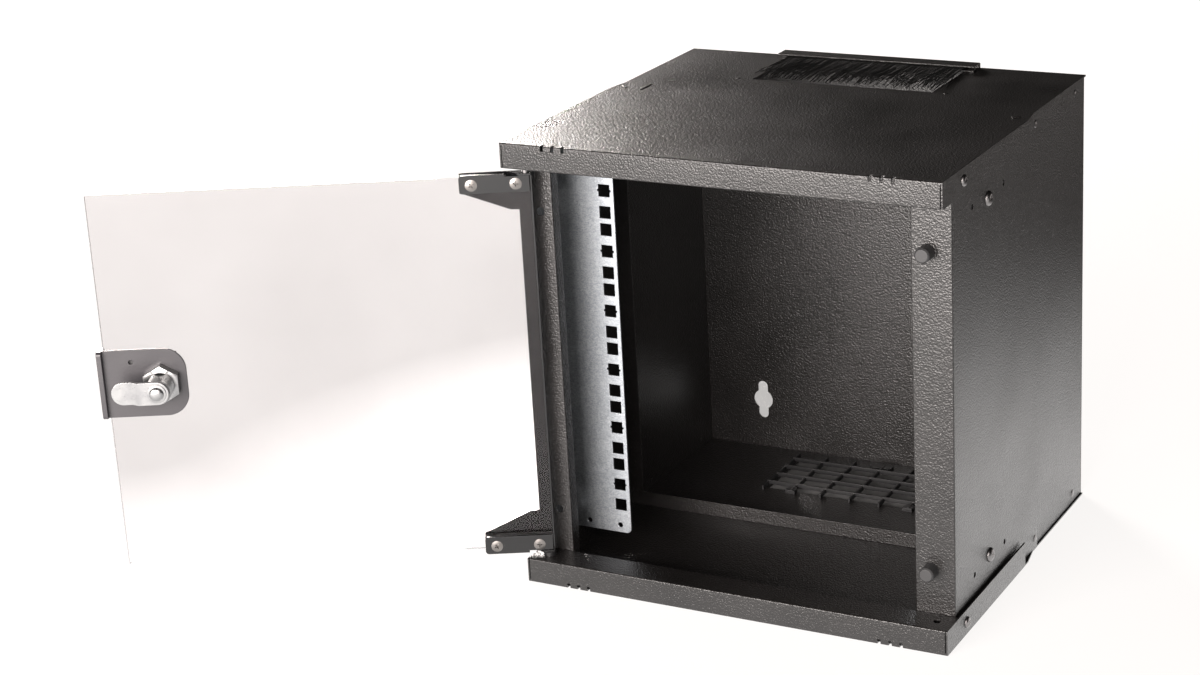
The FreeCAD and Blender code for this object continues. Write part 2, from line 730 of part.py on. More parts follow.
def clamp_plate(name, upper):
    """Inner clamp plate with two sunk holes, notched round the pin's flange."""
    body = new_body(name)

    def level(rise):
        return frame_high - rise if upper else frame_low + rise

    near, far = from_pins(glass_from), from_pins(arm_to)
    notch, clear = from_pins(14.4), frame_gauge + 0.2
    face = new_sketch(body, "XZ_Plane", plate_front)
    outline(face, [(near, level(clear)), (notch, level(clear)), (notch, level(0)),
                   (far, level(0)), (far, level(plate_tall)), (near, level(plate_tall))])
    pad(face, plate_gauge, "+y")
    round_edges(body, 2.5, {"x": far, "z": level(0)}, {"x": far, "z": level(plate_tall)})
    sinks = new_sketch(body, "XZ_Plane", plate_front)
    for distance, rise in clamp_places():
        if (float(rise) > float(middle)) == upper:
            facets(sinks, from_pins(distance), rise, clamp_head, 24)
    pocket(sinks, plate_gauge, "+y")
    return body


def clamp_screws():
    """Sunk-head screws from the clamp plates into the hinge frame."""
    body = new_body("clamp_screws")
    heads = new_sketch(body, "XZ_Plane", plate_front)
    shanks = new_sketch(body, "XZ_Plane", frame_front)
    for distance, rise in clamp_places():
        facets(heads, from_pins(distance), rise, clamp_head, 24)
        facets(shanks, from_pins(distance), rise, clamp_r)
    pad(heads, plate_gauge, "+y")
    pad(shanks, plate_front - frame_front, "+y")
    return body


def clamp_pads():
    """Thin pads that keep the steel off both faces of the glass."""
    body = new_body("clamp_pads")
    for front in (glass_front - pad_thick, hinge_y):
        strips = new_sketch(body, "XZ_Plane", front)
        for low, high in ((glass_low, frame_low + plate_tall), (frame_high - plate_tall, glass_high)):
            rectangle(strips, from_pins(glass_from), low, from_pins(arm_to), high)
        pad(strips, pad_thick, "+y")
        holes = new_sketch(body, "XZ_Plane", front)
        for distance, rise in clamp_places():
            facets(holes, from_pins(distance), rise, clamp_r + 0.4)
        pocket(holes, pad_thick, "+y")
    return body


def hinge_pin(name, low, high, tip_up):
    """Round pin fixed in a flange of the hinge frame, with a chamfered free end."""
    body = new_body(name)
    end, start, step = (high, low, -1) if tip_up else (low, high, 1)
    half_profile = new_sketch(body, "XZ_Plane", hinge_y, from_pins(0))
    turned(half_profile, [(0, start), (pin_r, start), (pin_r, end + step * 0.8),
                          (pin_r - 0.8, end), (0, end)], "V_Axis")
    return body


def hinge_spacer():
    """Nylon ring under the door, round the lower pin."""
    body = new_body("hinge_spacer")
    half_profile = new_sketch(body, "XZ_Plane", hinge_y, from_pins(0))
    turned(half_profile, [(pin_r, flange + 0.1), (4.6, flange + 0.1), (4.6, frame_low),
                          (pin_r, frame_low)], "V_Axis")
    return body


# ---------------------------------------------------------------- lock
def lock_bracket():
    """Rounded plate inside the glass, with a finger lip along the free edge."""
    body = new_body("lock_bracket")
    left, edge = from_pins(bracket_from), from_pins(glass_to) + 0.3
    low, high = lock_z - bracket_half, lock_z + bracket_half
    face = new_sketch(body, "XZ_Plane", plate_front)
    rectangle(face, left, low, edge + lip_gauge, high)
    pad(face, plate_gauge, "+y")
    round_edges(body, bracket_round, {"x": left, "z": low}, {"x": left, "z": high})
    lip = new_sketch(body, "XZ_Plane", lip_front)
    rectangle(lip, edge, low, edge + lip_gauge, high)
    pad(lip, lip_deep, "+y")
    round_edges(body, 2.5, *[{"y": place, "z": end} for place in (lip_front, lip_front + lip_deep)
                             for end in (low, high)])
    holes = new_sketch(body, "XZ_Plane", plate_front)
    disc(holes, from_pins(lock_s), lock_z, barrel_r)
    disc(holes, from_pins(284.3), lock_z + 15.7, 1.6)
    pocket(holes, plate_gauge, "+y")
    return body


def lock_pads():
    """Pad behind the bracket and gasket under the lock's head."""
    body = new_body("lock_pads")
    inner = new_sketch(body, "XZ_Plane", hinge_y)
    rectangle(inner, from_pins(bracket_from + 6), lock_z - bracket_half + 3,
              from_pins(glass_to - 1), lock_z + bracket_half - 3)
    facets(inner, from_pins(lock_s), lock_z, barrel_r + 0.2, 24, True)
    pad(inner, pad_thick, "+y")
    gasket = new_sketch(body, "XZ_Plane", glass_front - pad_thick)
    facets(gasket, from_pins(lock_s), lock_z, barrel_r + 2, 24)
    facets(gasket, from_pins(lock_s), lock_z, barrel_r + 0.2, 24, True)
    pad(gasket, pad_thick, "+y")
    return body


def lock_sketch(body, role="YZ_Plane", level=None):
    """A sketch whose origin lies on the lock's axis."""
    if role == "YZ_Plane":
        return new_sketch(body, role, from_pins(lock_s), 0, lock_z)
    return new_sketch(body, role, level, from_pins(lock_s), lock_z)


def lock_housing():
    """Barrel with a round head outside the glass, two flats and a stop notch."""
    body = new_body("lock_housing")
    head_back = glass_front - pad_thick
    bore = plug_r + plug_gap
    turned(lock_sketch(body), [(head_back - 3.5, bore), (head_back - 3.5, 10.6),
                               (head_back - 1.5, 12.2), (head_back, 12.2), (head_back, barrel_r),
                               (barrel_end, barrel_r), (barrel_end, bore)])
    flats = lock_sketch(body, "XZ_Plane", head_back)
    rectangle(flats, -12, 8.2, 12, 12)
    rectangle(flats, -12, -12, 12, -8.2)
    pocket(flats, glass_thick + 1, "+y")
    notch = lock_sketch(body, "XZ_Plane", barrel_end - 2)
    rectangle(notch, 5, -2.4, barrel_r + 1, 2.4)
    pocket(notch, 2, "+y")
    return body


def lock_nut():
    """Hexagon nut that holds the barrel in the bracket."""
    body = new_body("lock_nut")
    seat = plate_front + plate_gauge
    hexagon = lock_sketch(body, "XZ_Plane", seat)
    reach = nut_flats / math.sqrt(3)
    outline(hexagon, [(nut_flats / 2, reach / 2), (0, reach), (-nut_flats / 2, reach / 2),
                      (-nut_flats / 2, -reach / 2), (0, -reach), (nut_flats / 2, -reach / 2)])
    disc(hexagon, 0, 0, barrel_r)
    pad(hexagon, nut_tall, "+y")
    return body


def lock_plug():
    """Turning core with a key slot in front and a square drive behind."""
    body = new_body("lock_plug")
    face = glass_front - pad_thick - 4
    turned(lock_sketch(body), [(face, 0), (face, plug_r - 0.5), (face + 0.5, plug_r),
                               (barrel_end + 0.3, plug_r), (barrel_end + 0.3, 0)])
    drive = lock_sketch(body, "XZ_Plane", barrel_end + 0.3)
    rectangle(drive, -drive_flats / 2, -drive_flats / 2, drive_flats / 2, drive_flats / 2)
    pad(drive, cam_gauge, "+y")
    slot = lock_sketch(body, "XZ_Plane", face)
    rectangle(slot, -0.9, -4.2, 0.9, 4.2)
    pocket(slot, 18, "+y")
    thread = lock_sketch(body, "XZ_Plane", barrel_end + 0.3 + cam_gauge)
    disc(thread, 0, 0, 2.4)
    pocket(thread, 10, "-y")
    return body


def lock_cam():
    """Cranked steel tongue with round ends and a square hole."""
    body = new_body("lock_cam")
    hub, half = barrel_end + 0.3, cam_wide / 2
    section = new_sketch(body, "XY_Plane", lock_z - half, from_pins(lock_s))
    outline(section, [(-half, hub), (12.5, hub), (16.5, hub - cam_drop), (cam_long, hub - cam_drop),
                      (cam_long, hub - cam_drop + cam_gauge), (17.5, hub - cam_drop + cam_gauge),
                      (13.5, hub + cam_gauge), (-half, hub + cam_gauge)])
    pad(section, cam_wide, "+z")
    ends = [{"x": from_pins(lock_s) + reach, "z": lock_z + side * half}
            for reach in (-half, cam_long) for side in (-1, 1)]
    round_edges(body, half - 0.05, *ends)
    square = lock_sketch(body, "XZ_Plane", hub)
    side = drive_flats / 2 + 0.02
    rectangle(square, -side, -side, side, side)
    pocket(square, cam_gauge, "+y")
    return body


def cam_bolt():
    """Round-head bolt that holds the cam on the plug."""
    body = new_body("cam_bolt")
    seat = barrel_end + 0.3 + cam_gauge
    turned(lock_sketch(body), [(seat - 9, 0), (seat - 9, 2.4), (seat, 2.4), (seat, 4.4),
                               (seat + 1.8, 4.4), (seat + 3, 2.6), (seat + 3, 0)])
    return body


# ---------------------------------------------------------------- the whole cabinet
cover("top_cover", True)
cover("bottom_cover", False)
side_panel("left_side_panel", -1, left_post)
side_panel("right_side_panel", 1, right_post)
rear_panel()
rear_wall("rear_left_wall", -1)
rear_wall("rear_right_wall", 1)
rear_deck("rear_floor", False)
rear_deck("rear_roof", True)
rack_rail("left_rack_rail", -1)
rack_rail("right_rack_rail", 1)
cable_grid()
brush_holder()
brush_bristles()
door_bumpers()
panel_screws("cover_screws", cover_y, cover_z, cover_r, 3.2, 1.9, width / 2, 6)
panel_screws("rail_screws", screw_y, screw_z, screw_r, 5.2, 2.6, body_half, 8)
rear_rivets()
cabinet_count = len(pieces)

door_glass()
hinge_frame()
clamp_plate("upper_clamp_plate", True)
clamp_plate("lower_clamp_plate", False)
clamp_pads()
clamp_screws()
hinge_pin("upper_hinge_pin", frame_high - frame_gauge, frame_high + 9.5, True)
hinge_pin("lower_hinge_pin", frame_low - 4.8, frame_low + frame_gauge, False)
hinge_spacer()
lock_bracket()
lock_pads()
lock_housing()
lock_nut()
lock_plug()
lock_cam()
cam_bolt()
doc.recompute()

# the origin is the middle of the underside; the door stands open
to_origin = FreeCAD.Vector(0, -float(depth) / 2, 0)
pins = FreeCAD.Vector(-float(hinge_x), float(hinge_y), 0)
swing = FreeCAD.Rotation(FreeCAD.Vector(0, 0, 1), -float(open_angle))
for number, piece in enumerate(pieces):
    turn = swing if number >= cabinet_count else FreeCAD.Rotation()
    piece.Placement = FreeCAD.Placement(to_origin, turn, pins)
doc.recompute()

for item in doc.Objects:
    if "Invalid" in item.State or "Error" in item.State:
        raise RuntimeError(f"{item.Name} failed: {item.State}")

os.makedirs("parts", exist_ok=True)
for piece in pieces:
    if piece.Shape.isNull() or not piece.Shape.isValid():
        raise RuntimeError(f"{piece.Label} has no valid shape")
    piece.Shape.exportStep(f"parts/{piece.Label}.step")
    print(f"{piece.Label}: {len(piece.Shape.Solids)} solids, {piece.Shape.Volume:.0f} mm3")
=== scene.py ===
"""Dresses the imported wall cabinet: finishes, fine fittings, studio and camera."""

import json
import math
import random

import bmesh
import bpy
from mathutils import Matrix, Vector


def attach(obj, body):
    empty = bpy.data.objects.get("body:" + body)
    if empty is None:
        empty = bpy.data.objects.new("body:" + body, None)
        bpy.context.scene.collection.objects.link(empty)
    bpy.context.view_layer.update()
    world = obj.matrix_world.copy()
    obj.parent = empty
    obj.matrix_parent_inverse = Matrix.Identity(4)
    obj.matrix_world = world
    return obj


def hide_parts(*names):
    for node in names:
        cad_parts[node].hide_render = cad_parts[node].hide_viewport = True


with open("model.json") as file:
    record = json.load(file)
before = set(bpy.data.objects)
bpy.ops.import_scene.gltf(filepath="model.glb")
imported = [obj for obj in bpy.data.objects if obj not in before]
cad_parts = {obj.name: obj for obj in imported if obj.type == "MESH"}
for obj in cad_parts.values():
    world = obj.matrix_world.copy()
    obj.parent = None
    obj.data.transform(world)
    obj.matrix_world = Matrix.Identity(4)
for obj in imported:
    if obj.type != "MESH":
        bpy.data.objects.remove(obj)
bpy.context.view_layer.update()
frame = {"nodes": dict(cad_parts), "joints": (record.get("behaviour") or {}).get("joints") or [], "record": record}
bpy.ops.object.select_all(action="DESELECT")

MM = 0.001
CABINET = "cabinet"


# ---------------------------------------------------------------- shader helpers
def new_group(name, inputs, outputs):
    """A shader node group with named sockets; returns its tree and two end nodes."""
    tree = bpy.data.node_groups.new(name, "ShaderNodeTree")
    for label, kind, value in inputs:
        socket = tree.interface.new_socket(label, in_out="INPUT", socket_type=kind)
        socket.default_value = value
    for label, kind in outputs:
        tree.interface.new_socket(label, in_out="OUTPUT", socket_type=kind)
    start = tree.nodes.new("NodeGroupInput")
    end = tree.nodes.new("NodeGroupOutput")
    return tree, start, end


def add(tree, kind, **values):
    """Adds a node; keyword values set its properties or its input sockets."""
    node = tree.nodes.new(kind)
    for name, value in values.items():
        if hasattr(node, name):
            setattr(node, name, value)
        else:
            node.inputs[name.replace("_", " ")].default_value = value
    return node


def math_node(tree, operation, first, second=None):
    """Adds a maths node for one or two numbers or sockets; returns its result."""
    node = tree.nodes.new("ShaderNodeMath")
    node.operation = operation
    for socket, value in zip(node.inputs, (first, second)):
        if value is None:
            continue
        if isinstance(value, (int, float)):
            socket.default_value = value
        else:
            tree.links.new(value, socket)
    return node.outputs[0]


def ramp(tree, source, stops):
    """Colour ramp through (position, grey or colour) stops."""
    node = tree.nodes.new("ShaderNodeValToRGB")
    while len(node.color_ramp.elements) < len(stops):
        node.color_ramp.elements.new(0.5)
    for element, (place, colour) in zip(node.color_ramp.elements, stops):
        element.position = place
        shade = (colour,) * 3 if isinstance(colour, (int, float)) else colour
        element.color = (*shade, 1)
    tree.links.new(source, node.inputs[0])
    return node.outputs[0]


FLOAT, VECTOR = "NodeSocketFloat", "NodeSocketVector"


def build_grain_group():
    """Pebbled powder coat: a fine orange-peel height and a slow cloudiness."""
    tree, start, end = new_group(
        "powder_grain",
        [("Vector", VECTOR, (0, 0, 0)), ("Scale", FLOAT, 700.0)],
        [("Height", FLOAT), ("Cloud", FLOAT)])
    fine = add(tree, "ShaderNodeTexNoise", Detail=2.0, Roughness=0.55)
    tree.links.new(start.outputs["Vector"], fine.inputs["Vector"])
    tree.links.new(start.outputs["Scale"], fine.inputs["Scale"])
    cells = add(tree, "ShaderNodeTexVoronoi", feature="SMOOTH_F1")
    cells.inputs["Smoothness"].default_value = 0.7
    tree.links.new(start.outputs["Vector"], cells.inputs["Vector"])
    tree.links.new(math_node(tree, "MULTIPLY", start.outputs["Scale"], 0.8), cells.inputs["Scale"])
    height = math_node(tree, "MULTIPLY_ADD", cells.outputs["Distance"], -0.8)
    height.node.inputs[2].default_value = 0.8
    total = math_node(tree, "ADD", height, math_node(tree, "MULTIPLY", fine.outputs[0], 0.6))
    tree.links.new(total, end.inputs["Height"])
    cloud = add(tree, "ShaderNodeTexNoise", Scale=14.0, Detail=3.0)
    tree.links.new(start.outputs["Vector"], cloud.inputs["Vector"])
    tree.links.new(cloud.outputs[0], end.inputs["Cloud"])
    return tree


def build_spangle_group():
    """Galvanised zinc: fine frosted crystals, a little wider than they are tall."""
    tree, start, end = new_group(
        "zinc_spangle",
        [("Vector", VECTOR, (0, 0, 0)), ("Scale", FLOAT, 160.0)],
        [("Shade", FLOAT), ("Height", FLOAT)])
    stretch = add(tree, "ShaderNodeMapping")
    stretch.inputs["Scale"].default_value = (0.7, 0.7, 1.0)
    tree.links.new(start.outputs["Vector"], stretch.inputs["Vector"])
    crystals = add(tree, "ShaderNodeTexVoronoi", feature="F1")
    tree.links.new(stretch.outputs[0], crystals.inputs["Vector"])
    tree.links.new(start.outputs["Scale"], crystals.inputs["Scale"])
    split = add(tree, "ShaderNodeSeparateColor")
    tree.links.new(crystals.outputs["Color"], split.inputs[0])
    drift = add(tree, "ShaderNodeTexNoise", Scale=55.0, Detail=4.0, Roughness=0.65)
    tree.links.new(stretch.outputs[0], drift.inputs["Vector"])
    grain = math_node(tree, "MULTIPLY", split.outputs[0], 0.55)
    shade = math_node(tree, "ADD", grain, math_node(tree, "MULTIPLY", drift.outputs[0], 0.45))
    tree.links.new(shade, end.inputs["Shade"])
    tree.links.new(split.outputs[1], end.inputs["Height"])
    return tree


def build_wear_group():
    """Fine handling scratches and blotches on plated steel."""
    tree, start, end = new_group(
        "plated_wear",
        [("Vector", VECTOR, (0, 0, 0)), ("Scale", FLOAT, 400.0)],
        [("Scratch", FLOAT), ("Blotch", FLOAT)])
    stretch = add(tree, "ShaderNodeMapping")
    stretch.inputs["Scale"].default_value = (1, 0.12, 2.5)
    tree.links.new(start.outputs["Vector"], stretch.inputs["Vector"])
    lines = add(tree, "ShaderNodeTexNoise", Detail=4.0, Roughness=0.7)
    tree.links.new(stretch.outputs[0], lines.inputs["Vector"])
    tree.links.new(start.outputs["Scale"], lines.inputs["Scale"])
    blotch = add(tree, "ShaderNodeTexNoise", Scale=120.0, Detail=2.0)
    tree.links.new(start.outputs["Vector"], blotch.inputs["Vector"])
    tree.links.new(lines.outputs[0], end.inputs["Scratch"])
    tree.links.new(blotch.outputs[0], end.inputs["Blotch"])
    return tree


GRAIN = build_grain_group()
SPANGLE = build_spangle_group()
PLATED = build_wear_group()


def new_material(name, **sockets):
    """A material with a Principled BSDF whose plain sockets are set here."""
    material = bpy.data.materials.new(name)
    material.use_nodes = True
    tree = material.node_tree
    shader = tree.nodes["Principled BSDF"]
    for label, value in sockets.items():
        shader.inputs[label.replace("_", " ")].default_value = value
    coordinates = tree.nodes.new("ShaderNodeTexCoord")
    return material, tree, shader, coordinates.outputs["Object"]


def use_group(tree, group, vector, scale):
    """Adds a node for a group, fed with a vector at a scale."""
    node = tree.nodes.new("ShaderNodeGroup")
    node.node_tree = group
    tree.links.new(vector, node.inputs["Vector"])
    node.inputs["Scale"].default_value = scale
    return node


def bump(tree, shader, height, distance):
    """Tilts the shading by a height whose full size is a distance in metres."""
    node = add(tree, "ShaderNodeBump", Distance=distance, Strength=1.0)
    tree.links.new(height, node.inputs["Height"])
    tree.links.new(node.outputs[0], shader.inputs["Normal"])


def powder_coat(name, dark, light, rough, grain_scale, grain_depth):
    """Painted sheet, cloudy between two colours, with the grain's depth in metres."""
    material, tree, shader, place = new_material(name, IOR=1.5)
    grain = use_group(tree, GRAIN, place, grain_scale)
    tone = ramp(tree, grain.outputs["Cloud"], [(0.3, dark), (0.7, light)])
    tree.links.new(tone, shader.inputs["Base Color"])
    gloss = ramp(tree, grain.outputs["Cloud"], [(0.25, rough - 0.04), (0.75, rough + 0.04)])
    tree.links.new(gloss, shader.inputs["Roughness"])
    bump(tree, shader, grain.outputs["Height"], grain_depth)
    return material


def galvanised_steel():
    material, tree, shader, place = new_material("galvanised_steel", Metallic=1.0)
    spangle = use_group(tree, SPANGLE, place, scale=1600.0)
    dark, middle, light = (0.24, 0.262, 0.285), (0.345, 0.37, 0.395), (0.46, 0.48, 0.50)
    tone = ramp(tree, spangle.outputs["Shade"], [(0.1, dark), (0.5, middle), (0.9, light)])
    tree.links.new(tone, shader.inputs["Base Color"])
    gloss = ramp(tree, spangle.outputs["Height"], [(0.0, 0.46), (1.0, 0.62)])
    tree.links.new(gloss, shader.inputs["Roughness"])
    bump(tree, shader, spangle.outputs["Height"], distance=0.00002)
    return material


def plated_steel(name, dark, light, rough):
    """Plated metal, blotchy between two colours and finely scratched."""
    material, tree, shader, place = new_material(name, Metallic=1.0)
    wear = use_group(tree, PLATED, place, scale=420.0)
    tone = ramp(tree, wear.outputs["Blotch"], [(0.3, dark), (0.7, light)])
    tree.links.new(tone, shader.inputs["Base Color"])
    gloss = ramp(tree, wear.outputs["Scratch"], [(0.3, rough - 0.04), (0.7, rough + 0.06)])
    tree.links.new(gloss, shader.inputs["Roughness"])
    bump(tree, shader, wear.outputs["Scratch"], distance=0.000004)
    return material


def moulded_plastic(name, colour, rough):
    """Plastic or rubber with a fine grain and slightly lighter clouds."""
    material, tree, shader, place = new_material(name, IOR=1.46)
    grain = use_group(tree, GRAIN, place, scale=1500.0)
    lighter = tuple(1.35 * part for part in colour)
    tone = ramp(tree, grain.outputs["Cloud"], [(0.3, colour), (0.7, lighter)])
    tree.links.new(tone, shader.inputs["Base Color"])
    gloss = ramp(tree, grain.outputs["Cloud"], [(0.3, rough - 0.05), (0.7, rough + 0.05)])
    tree.links.new(gloss, shader.inputs["Roughness"])
    bump(tree, shader, grain.outputs["Height"], distance=0.00002)
    return material


def clear_glass():
    """Glass, faintly smeared; it bends light less than real glass, to mirror the floor less."""
    material, tree, shader, place = new_material(
        "clear_glass", IOR=1.18, Transmission_Weight=1.0, Metallic=0.0)
    smear = add(tree, "ShaderNodeTexNoise", Scale=9.0, Detail=4.0)
    tree.links.new(place, smear.inputs["Vector"])
    gloss = ramp(tree, smear.outputs[0], [(0.45, 0.0), (0.8, 0.05)])
    tree.links.new(gloss, shader.inputs["Roughness"])
    dim, pale = (0.74, 0.715, 0.715), (0.80, 0.775, 0.775)
    tone = ramp(tree, smear.outputs[0], [(0.3, dim), (0.7, pale)])
    tree.links.new(tone, shader.inputs["Base Color"])
    return material


MATERIALS = {
    "black_coat": powder_coat("black_powder_coat", dark=(0.0075, 0.0068, 0.0066),
                              light=(0.0110, 0.0099, 0.0097), rough=0.31,
                              grain_scale=1000.0, grain_depth=0.00032),
    "galvanised": galvanised_steel(),
    "black_plastic": moulded_plastic("grid_plastic", (0.009, 0.009, 0.0095), rough=0.38),
    "bristle": moulded_plastic("bristle_nylon", (0.0015, 0.0015, 0.0015), rough=1.0),
    "black_rubber": moulded_plastic("bumper_rubber", (0.022, 0.022, 0.023), rough=0.55),
    "black_screw": plated_steel("black_screw_steel", dark=(0.10, 0.10, 0.10),
                                light=(0.20, 0.19, 0.19), rough=0.34),
    "clear_glass": clear_glass(),
    "dark_zinc": plated_steel("dark_zinc", dark=(0.20, 0.20, 0.205),
                              light=(0.32, 0.32, 0.32), rough=0.36),
    "bright_zinc": plated_steel("bright_zinc", dark=(0.235, 0.235, 0.24),
                                light=(0.30, 0.30, 0.30), rough=0.30),
}

# looks that some pieces wear in place of the material named after their slot
FINISHES = {
    "gloss_black": powder_coat("smooth_black_coat", dark=(0.0035, 0.0034, 0.0037),
                               light=(0.0060, 0.0058, 0.0064), rough=0.17,
                               grain_scale=700.0, grain_depth=0.00002),
    "dull_zinc": plated_steel("dull_zinc", dark=(0.13, 0.122, 0.116),
                              light=(0.19, 0.18, 0.172), rough=0.36),
    "satin_bracket": powder_coat("satin_bracket_coat", dark=(0.033, 0.031, 0.0345),
                                 light=(0.045, 0.0425, 0.0465), rough=0.34,
                                 grain_scale=700.0, grain_depth=0.00003),
}


def dress(piece, slot_name, body, finish=None):
    """Gives a new piece the material of its record slot, or a finish, and its body."""
    piece.data.materials.clear()
    piece.data.materials.append(FINISHES[finish] if finish else MATERIALS[slot_name])
    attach(piece, body)


for part in frame["record"]["subparts"]:
    node_object = frame["nodes"][part["node"]]
    node_object.data.materials.clear()
    node_object.data.materials.append(MATERIALS[part["material_slot"]])


# ---------------------------------------------------------------- modelling helpers
BODY_OF = {node: body for body, members in frame["record"]["behaviour"]["bodies"].items()
           for node in members}
SLOT_OF = {part["node"]: part["material_slot"] for part in frame["record"]["subparts"]}


def only(piece):
    """Selects one piece and nothing else."""
    bpy.ops.object.select_all(action="DESELECT")
    piece.select_set(True)
    bpy.context.view_layer.objects.active = piece


def apply_modifier(piece, kind, **settings):
    """Adds a modifier with its settings and applies it at once."""
    only(piece)
    modifier = piece.modifiers.new(kind.lower(), kind)
    for name, value in settings.items():
        setattr(modifier, name, value)
    bpy.ops.object.modifier_apply(modifier=modifier.name)


def soften(piece, width, segments=2, sharp=30.0):
    """Rounds the sharp edges by a width in millimetres and shades the faces smooth."""
    only(piece)
    bpy.ops.object.shade_smooth_by_angle(angle=math.radians(sharp))
    apply_modifier(piece, "BEVEL", width=width * MM, segments=segments, limit_method="ANGLE",
                   angle_limit=math.radians(sharp), harden_normals=True)


EASED_SHARP = 35.0


def eased(node, width, segments=2, finish=None):
    """A merged copy of a CAD node with rounded edges, which stands for that node."""
    piece = bpy.data.objects.new(f"{node}_eased", frame["nodes"][node].data.copy())
    bpy.context.scene.collection.objects.link(piece)
    only(piece)
    bpy.ops.mesh.customdata_custom_splitnormals_clear()
    bpy.ops.object.mode_set(mode="EDIT")
    bpy.ops.mesh.select_all(action="SELECT")
    bpy.ops.mesh.remove_doubles(threshold=0.01 * MM)
    bpy.ops.mesh.dissolve_limited(angle_limit=math.radians(0.5))
    bpy.ops.object.mode_set(mode="OBJECT")
    soften(piece, width, segments, EASED_SHARP)
    dress(piece, SLOT_OF[node], BODY_OF[node], finish)
    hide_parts(node)
    return piece


def turned(name, profile, steps=32):
    """Spins a closed or axis-to-axis outline of (radius, height) about Z, in millimetres."""
    bpy.ops.object.select_all(action="DESELECT")
    bpy.ops.mesh.primitive_plane_add(size=MM)
    piece = bpy.context.object
    piece.name = name
    bpy.ops.object.mode_set(mode="EDIT")
    bpy.ops.mesh.select_all(action="SELECT")
    bpy.ops.mesh.merge(type="CENTER")
    bpy.ops.transform.translate(value=(profile[0][0] * MM, 0, profile[0][1] * MM))
    for (radius, height), (next_radius, next_height) in zip(profile, profile[1:]):
        shift = ((next_radius - radius) * MM, 0, (next_height - height) * MM)
        bpy.ops.mesh.extrude_region_move(TRANSFORM_OT_translate={"value": shift})
    bpy.ops.mesh.select_all(action="SELECT")
    bpy.ops.mesh.spin(steps=steps, angle=2 * math.pi, center=(0, 0, 0), axis=(0, 0, 1))
    bpy.ops.mesh.select_all(action="SELECT")
    bpy.ops.mesh.remove_doubles(threshold=0.002 * MM)
    bpy.ops.mesh.normals_make_consistent(inside=False)
    bpy.ops.object.mode_set(mode="OBJECT")
    return piece


def block(name, low, high, narrow=1.0):
    """A block between two corners in millimetres, its lower end drawn in by a factor."""
    bpy.ops.object.select_all(action="DESELECT")
    bpy.ops.mesh.primitive_cube_add(size=1)
    piece = bpy.context.object
    piece.name = name
    size = [(b - a) * MM for a, b in zip(low, high)]
    middle = [(b + a) / 2 * MM for a, b in zip(low, high)]
    bpy.ops.object.mode_set(mode="EDIT")
    bpy.ops.mesh.select_all(action="SELECT")
    bpy.ops.transform.resize(value=size)
    bpy.ops.mesh.select_all(action="DESELECT")
    mesh = bmesh.from_edit_mesh(piece.data)
    for face in mesh.faces:
        face.select_set(face.normal.z < -0.9)
    bmesh.update_edit_mesh(piece.data)
    bpy.ops.transform.resize(value=(narrow, narrow, 1))
    bpy.ops.mesh.select_all(action="SELECT")
    bpy.ops.transform.translate(value=middle)
    bpy.ops.object.mode_set(mode="OBJECT")
    return piece


def cut_with(piece, cutter, operation="DIFFERENCE"):
    """Cuts a piece with another, or keeps what both share, and deletes the cutter."""
    apply_modifier(piece, "BOOLEAN", object=cutter, operation=operation, solver="EXACT")
    bpy.data.objects.remove(cutter)


def copies(source, name, places):
    """One piece made of copies of a source, one for each matrix; the source goes."""
    made = []
    for place in places:
        copy = bpy.data.objects.new(name, source.data.copy())
        bpy.context.scene.collection.objects.link(copy)
        copy.data.transform(place)
        if place.determinant() < 0:
            copy.data.flip_normals()
        made.append(copy)
    bpy.data.objects.remove(source)
    bpy.ops.object.select_all(action="DESELECT")
    for copy in made:
        copy.select_set(True)
    bpy.context.view_layer.objects.active = made[0]
    if len(made) > 1:
        bpy.ops.object.join()
    made[0].name = name
    return made[0]


TALL = 326
FRONT_FACE = 146


def point(x, y, z):
    """A point in the frame's metres, y being millimetres behind the cabinet's front face."""
    return Vector((x, y - FRONT_FACE, z)) * MM


HINGE = next(joint for joint in frame["joints"] if joint["name"] == "door_hinge")
PIN_LINE = Matrix.Translation(Vector((HINGE["pos_m"][0], HINGE["pos_m"][1], 0)))
OPEN = PIN_LINE @ Matrix.Rotation(math.radians(HINGE["range_deg"][0]), 4, "Z")


def on_door(along, inward, rise):
    """Sets something drawn up Z on the door, facing into the shut cabinet."""
    place = Matrix.Translation(Vector((along, inward, rise)) * MM)
    return OPEN @ place @ Matrix.Rotation(math.radians(-90), 4, "X")


# ---------------------------------------------------------------- eased edges
for sheet_node in ("top_cover", "bottom_cover", "left_side_panel", "right_side_panel"):
    eased(sheet_node, 0.3)
for sheet_node in ("rear_panel", "rear_left_wall", "rear_right_wall", "rear_floor", "rear_roof",
                   "brush_holder"):
    eased(sheet_node, 0.25)
eased("left_rack_rail", 0.3)
right_rail = eased("right_rack_rail", 0.3)
# cut back, so that its inner edge lies just behind the right post's in the shown view
TRIM_FROM, NEW_EDGE = 110, 111.7
cut_with(right_rail, block("rail_trim", (TRIM_FROM, -80, 10), (NEW_EDGE, -77, 320)))
eased("cable_grid", 0.25)
eased("door_bumpers", 0.3, 3)
for sheet_node in ("hinge_frame", "upper_clamp_plate", "lower_clamp_plate"):
    eased(sheet_node, 0.45, 3, "gloss_black")
eased("lock_bracket", 0.6, 3, "satin_bracket")
eased("door_glass", 0.5, 3)
eased("lock_cam", 0.35, 3)
eased("lock_plug", 0.2)


